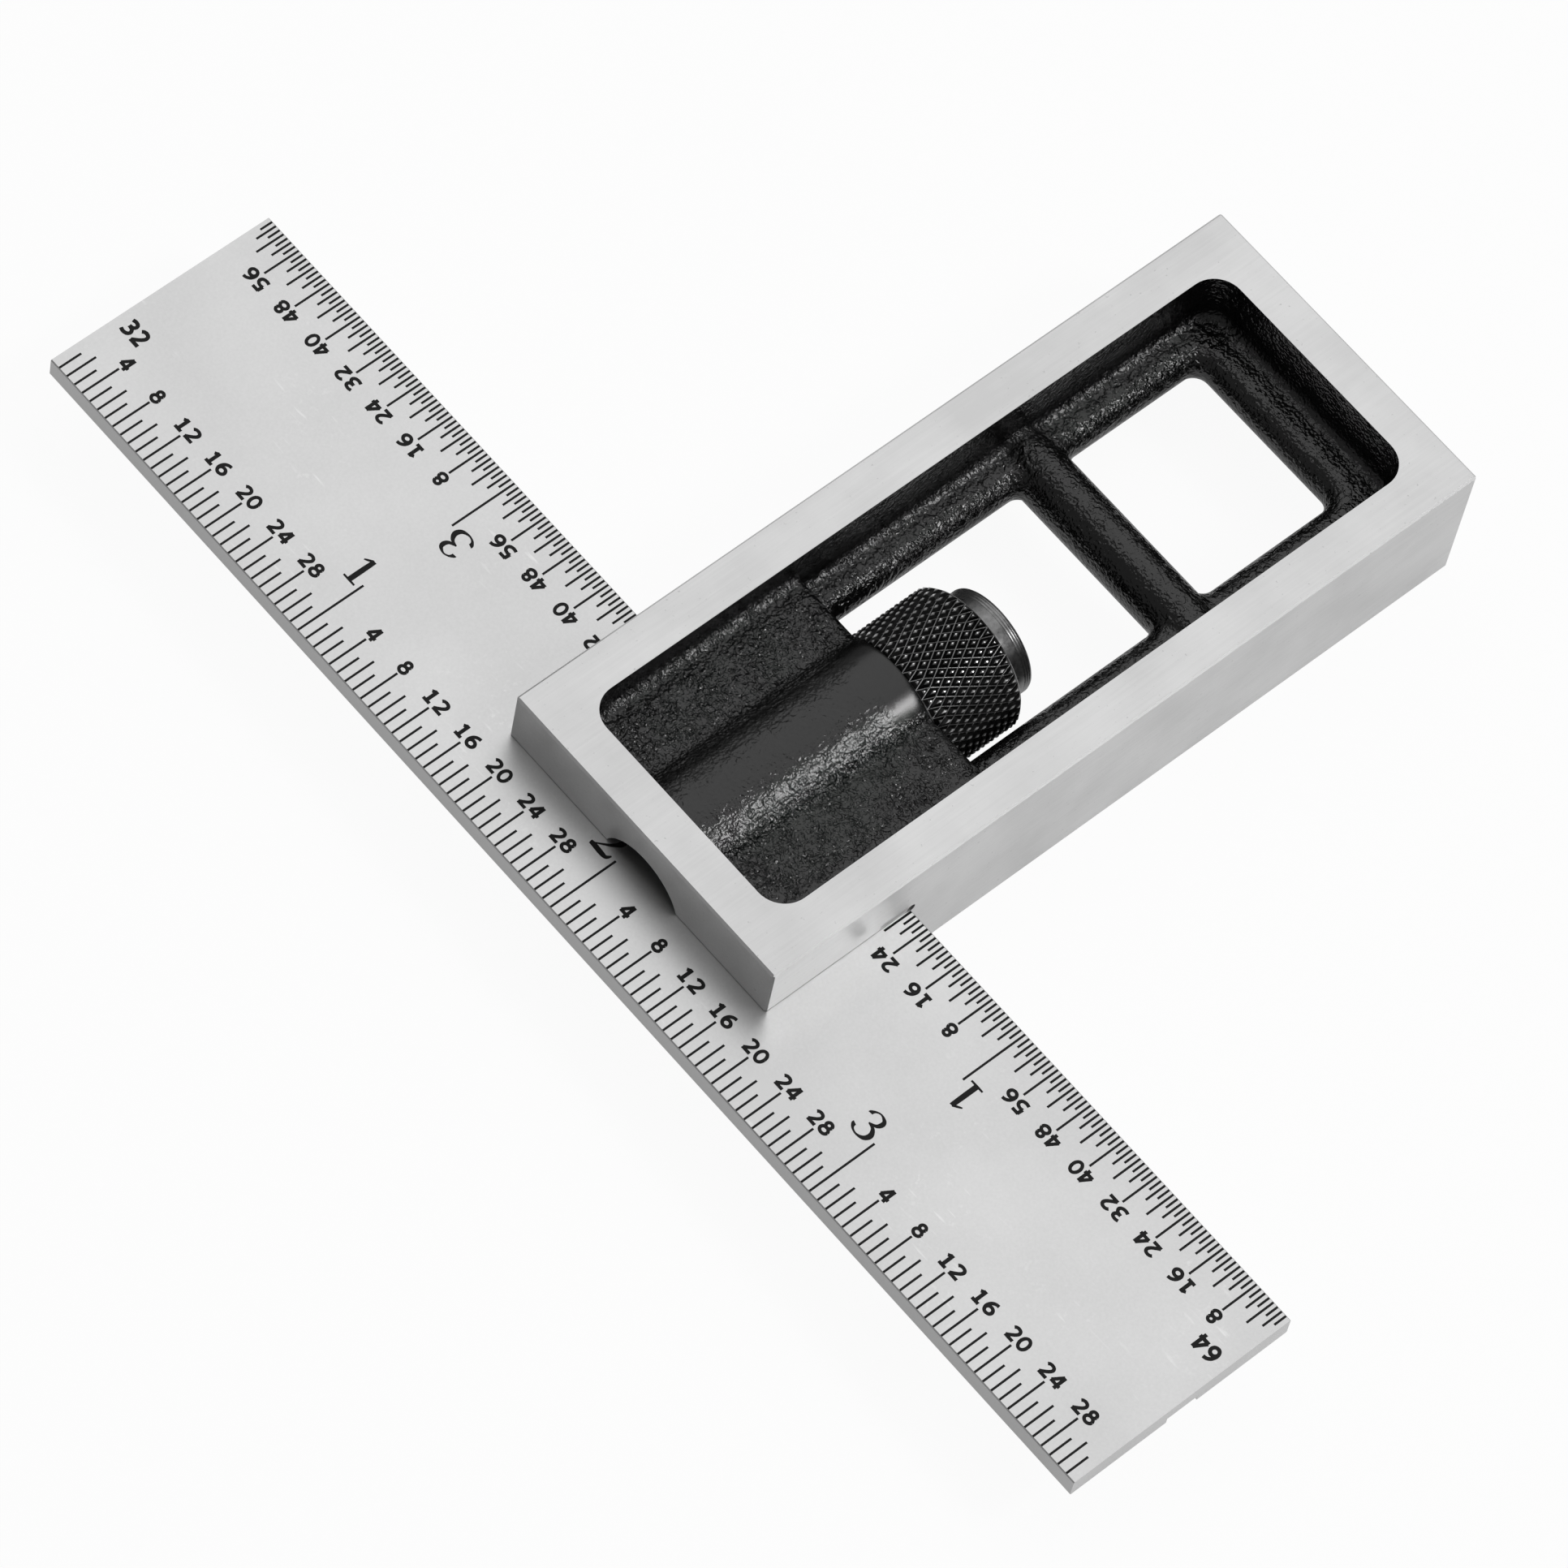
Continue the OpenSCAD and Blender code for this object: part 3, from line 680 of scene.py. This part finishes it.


# Strokes of the small upright numbers, drawn in a box one tall: knots of x and y
PLAIN = {
    "0": [loop(0.36, 0.5, 0.28, 0.42)],
    "1": [[(0.14, 0.76), (0.26, 0.84), (0.36, 0.92)], [(0.37, 0.99), (0.37, 0.5), (0.37, 0.07)],
          [(0.13, 0.07), (0.37, 0.07), (0.62, 0.07)]],
    "2": [[(0.09, 0.79), (0.18, 0.88), (0.34, 0.92), (0.52, 0.86), (0.58, 0.7), (0.5, 0.51),
           (0.31, 0.29), (0.1, 0.09)], [(0.06, 0.07), (0.35, 0.07), (0.66, 0.07)]],
    "3": [[(0.1, 0.87), (0.3, 0.92), (0.5, 0.87), (0.56, 0.73), (0.47, 0.58), (0.24, 0.53)],
          [(0.24, 0.53), (0.5, 0.48), (0.61, 0.3), (0.51, 0.13), (0.29, 0.07), (0.07, 0.12)]],
    "4": [[(0.47, 0.98), (0.27, 0.64), (0.06, 0.29)], [(0.02, 0.27), (0.35, 0.27), (0.7, 0.27)],
          [(0.51, 0.99), (0.51, 0.5), (0.51, 0.0)]],
    "5": [[(0.6, 0.92), (0.36, 0.92), (0.13, 0.92)], [(0.18, 0.95), (0.165, 0.75), (0.15, 0.53)],
          [(0.13, 0.54), (0.34, 0.57), (0.54, 0.49), (0.61, 0.31), (0.52, 0.14), (0.3, 0.07),
           (0.07, 0.11)]],
    "6": [[(0.58, 0.92), (0.38, 0.88), (0.2, 0.73), (0.11, 0.5), (0.11, 0.3), (0.2, 0.13),
           (0.36, 0.07), (0.54, 0.14), (0.61, 0.31), (0.54, 0.48), (0.37, 0.55), (0.2, 0.49),
           (0.12, 0.36)]],
    "8": [loop(0.36, 0.73, 0.2, 0.195), loop(0.36, 0.3, 0.27, 0.23)],
}

# Strokes of the large numbers, in a box one tall: knots of x, y and half width
BROAD = {
    "1": [[(0.02, 0.80, 0.02), (0.12, 0.87, 0.035), (0.26, 0.97, 0.035)],
          [(0.27, 0.98, 0.075), (0.27, 0.5, 0.083), (0.27, 0.03, 0.083)],
          [(0.05, 0.03, 0.028), (0.27, 0.03, 0.034), (0.5, 0.03, 0.028)]],
    "2": [[(0.115, 0.74, 0.072), (0.12, 0.79, 0.065), (0.17, 0.9, 0.033), (0.34, 0.975, 0.027),
           (0.55, 0.88, 0.065), (0.6, 0.72, 0.081), (0.5, 0.5, 0.052), (0.28, 0.25, 0.027),
           (0.07, 0.05, 0.019)],
          [(0.06, 0.06, 0.065), (0.2, 0.07, 0.081), (0.45, 0.055, 0.081), (0.62, 0.07, 0.058),
           (0.7, 0.22, 0.019)]],
    "3": [[(0.115, 0.77, 0.072), (0.12, 0.81, 0.062), (0.2, 0.92, 0.03), (0.35, 0.975, 0.027),
           (0.53, 0.9, 0.058), (0.57, 0.77, 0.072), (0.5, 0.62, 0.052), (0.3, 0.535, 0.02)],
          [(0.3, 0.535, 0.02), (0.5, 0.49, 0.052), (0.62, 0.3, 0.081), (0.55, 0.1, 0.065),
           (0.34, 0.015, 0.03), (0.16, 0.06, 0.035), (0.075, 0.17, 0.065),
           (0.08, 0.22, 0.072)]],
}


def stroke(mesh, knots, order):
    """One stroke as a thin closed bar, a ring of four corners at each spot along it.

    It rises a hair as it goes, and a later stroke is higher, so that no two faces meet in one
    plane where strokes cross.
    """
    rise = 0.003
    rings = []
    left, right = pen(knots)
    for i, (a, b) in enumerate(zip(left, right)):
        top = proud + rise * (order + i / len(left))
        rings.append([mesh.verts.new((*a, top)), mesh.verts.new((*b, top)),
                      mesh.verts.new((*b, -sunk)), mesh.verts.new((*a, -sunk))])
    for first, second in zip(rings, rings[1:]):
        for k in range(4):
            m = (k + 1) % 4
            mesh.faces.new((first[k], first[m], second[m], second[k]))
    mesh.faces.new(rings[0])
    mesh.faces.new(rings[-1])


def number(text, style, height, width, align):
    """A filled number of a height and width in millimetres, standing on its baseline.

    align is 0.5 to centre it over x = 0, or 1 to end it there. Half the width of a small
    stroke and the step from digit to digit are in the box one tall that the strokes are
    drawn in.
    """
    small_half, digit_step = 0.107, 0.83
    mesh = bmesh.new()
    for place_in_row, digit in enumerate(text):
        for order, knots in enumerate(style[digit]):
            knots = [knot if len(knot) == 3 else knot + (small_half,) for knot in knots]
            stroke(mesh, [(x + place_in_row * digit_step, y, half) for x, y, half in knots],
                   order)
    low_x, high_x = min(v.co.x for v in mesh.verts), max(v.co.x for v in mesh.verts)
    low_y, high_y = min(v.co.y for v in mesh.verts), max(v.co.y for v in mesh.verts)
    for v in mesh.verts:
        v.co = Vector((((v.co.x - low_x) / (high_x - low_x) - align) * width,
                       (v.co.y - low_y) / (high_y - low_y) * height, v.co.z)) * MM
    bmesh.ops.recalc_face_normals(mesh, faces=mesh.faces)
    return mesh


def join(parts):
    """Moves a list of (mesh, matrix) into one mesh."""
    whole = bmesh.new()
    for part, matrix in parts:
        part.transform(matrix)
        held = bpy.data.meshes.new("part")
        part.to_mesh(held)
        part.free()
        whole.from_mesh(held)
        bpy.data.meshes.remove(held)
    return whole


def reading_turn(edge):
    """The turn that stands a number up when it is read from an edge."""
    return Matrix.Rotation(math.radians(-90 if edge.inward > 0 else 90), 4, "Z")


def number_row(name, edge, parts, step, base, inch_base):
    """Numbers on every so many parts of an inch, and one beside each inch line.

    The bases are how far the small and the large numbers stand in from the edge.
    """
    one_digit_w, two_digit_w = 0.84, 1.8
    large_w = {"1": 1.16, "2": 1.78, "3": 1.7}
    beside_line = 0.38
    placed = []
    for k in range(step, blade_inches * parts, step):
        y = edge.zero_y + edge.onward * k * INCH / parts
        count = k % parts
        if count:
            text = str(count)
            width = one_digit_w if len(text) == 1 else two_digit_w
            mesh = number(text, PLAIN, small_h, width, 0.5)
            spot = Vector((edge.x + edge.inward * base, y, blade_top))
        else:
            digit = str(k // parts)
            mesh = number(digit, BROAD, large_h, large_w[digit], 1)
            spot = Vector((edge.x + edge.inward * inch_base, y - edge.onward * beside_line,
                           blade_top))
        placed.append((mesh, Matrix.Translation(spot * MM) @ reading_turn(edge)))
    return piece(name, join(placed), "blade", fill)


def row_name(name, edge, text, base, gap, height, width):
    """The plain number that says what parts of an inch a row is in."""
    y = edge.zero_y + edge.onward * (gap + width / 2)
    spot = Vector((edge.x + edge.inward * base, y, blade_top))
    mesh = number(text, PLAIN, height, width, 0.5)
    placed = [(mesh, Matrix.Translation(spot * MM) @ reading_turn(edge))]
    return piece(name, join(placed), "blade", fill)


number_row("numbers_of_32nds", outer_edge, 32, step=4, base=3.26, inch_base=5.0)
number_row("numbers_of_64ths", inner_edge, 64, step=8, base=3.15, inch_base=4.9)
row_name("number_32", outer_edge, "32", base=5.03, gap=0.75, height=1.39, width=1.875)
row_name("number_64", inner_edge, "64", base=4.9, gap=0.84, height=1.36, width=1.9)


def floor():
    """The paper that the square lies on, a little under it so that no faces meet."""
    half_size, under = 2.5, 0.02 * MM
    mesh = bmesh.new()
    bmesh.ops.create_grid(mesh, x_segments=8, y_segments=8, size=half_size)
    shape = bpy.data.meshes.new("floor")
    mesh.to_mesh(shape)
    mesh.free()
    shape.materials.append(paper_sweep())
    made = bpy.data.objects.new("floor", shape)
    made.location.z = -under
    bpy.context.scene.collection.objects.link(made)


def softbox(name, direction, distance, size, power):
    """A square lamp that looks at the middle of the object from a direction."""
    light = bpy.data.lights.new(name, "AREA")
    light.shape = "SQUARE"
    light.size = size
    light.energy = power
    made = bpy.data.objects.new(name, light)
    towards = Vector(direction).normalized()
    made.location = towards * distance
    made.rotation_euler = (-towards).to_track_quat("-Z", "Y").to_euler()
    bpy.context.scene.collection.objects.link(made)


def studio_air():
    """Faint even light from all round."""
    world = bpy.data.worlds.new("studio")
    world.use_nodes = True
    world.node_tree.nodes.clear()
    air = add(world.node_tree, "Background", {"Color": linear("f5f5f5"), "Strength": 0.27})
    add(world.node_tree, "OutputWorld", {"Surface": air})
    bpy.context.scene.world = world


def camera():
    """A long lens above one corner of the blade, fitted to the photo's straight edges."""
    lens = bpy.data.cameras.new("camera")
    lens.sensor_width = 36
    lens.lens = 221.829
    lens.clip_start = 0.05
    made = bpy.data.objects.new("camera", lens)
    made.location = Vector((-259.1173, -189.7572, 546.9786)) * MM
    made.rotation_euler = (0.5053828, -0.1146075, -0.7104747)
    bpy.context.scene.collection.objects.link(made)
    bpy.context.scene.camera = made


# The key gives the broken highlight on the enamel, the low lamp the bright break along the
# head's long edge, and the top lamp the even tone of the ground and plated faces
floor()
softbox("key_softbox", (0.41, -0.52, 0.75), distance=1.2, size=0.26, power=3.8)
softbox("low_softbox", (0.39, -0.87, 0.30), distance=1.0, size=0.22, power=0.65)
softbox("top_softbox", (0.39, 0.30, 0.87), distance=1.0, size=1.1, power=3.6)
studio_air()
camera()
bpy.context.scene.view_settings.view_transform = "Standard"
